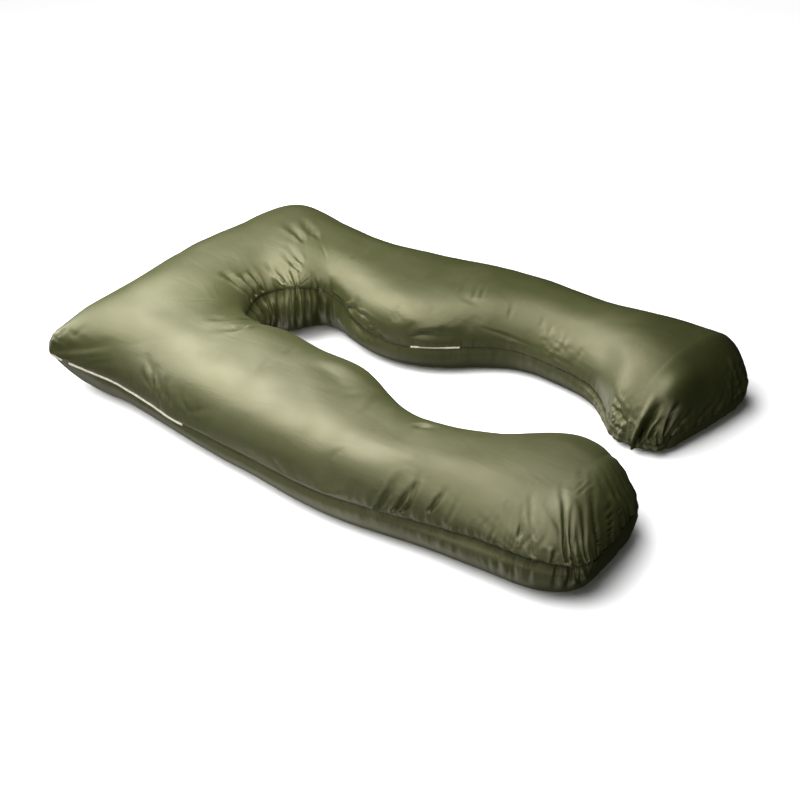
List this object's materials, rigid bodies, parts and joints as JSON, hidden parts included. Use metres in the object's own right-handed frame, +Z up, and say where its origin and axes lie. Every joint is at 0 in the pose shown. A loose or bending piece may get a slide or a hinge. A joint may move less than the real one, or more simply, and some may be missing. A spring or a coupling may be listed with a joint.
{
  "type": "body pillow",
  "caption": "U-shaped body pillow in olive satin: one long filled cushion bent round a head end, with a contoured slot between its arms.",
  "frame": {"origin": "middle of the bounding box's bottom, on the surface that the pillow lies on", "axes": "+Z up, +Y from the arms' ends towards the head end, +X across the pillow towards the arm whose end lies further right in the picture"},
  "size_m": [0.9829, 1.4319, 0.2103],
  "materials": {
    "olive_satin": "smooth satin weave with a soft broad sheen, olive green, puckered along the seams",
    "zip_cream": "matt cream coil of a closed zip"
  },
  "bodies": {
    "root": {"cushion": "olive_satin", "zip_corner": "zip_cream", "zip_side": "zip_cream", "zip_arm": "zip_cream"}
  },
  "joints": []
}
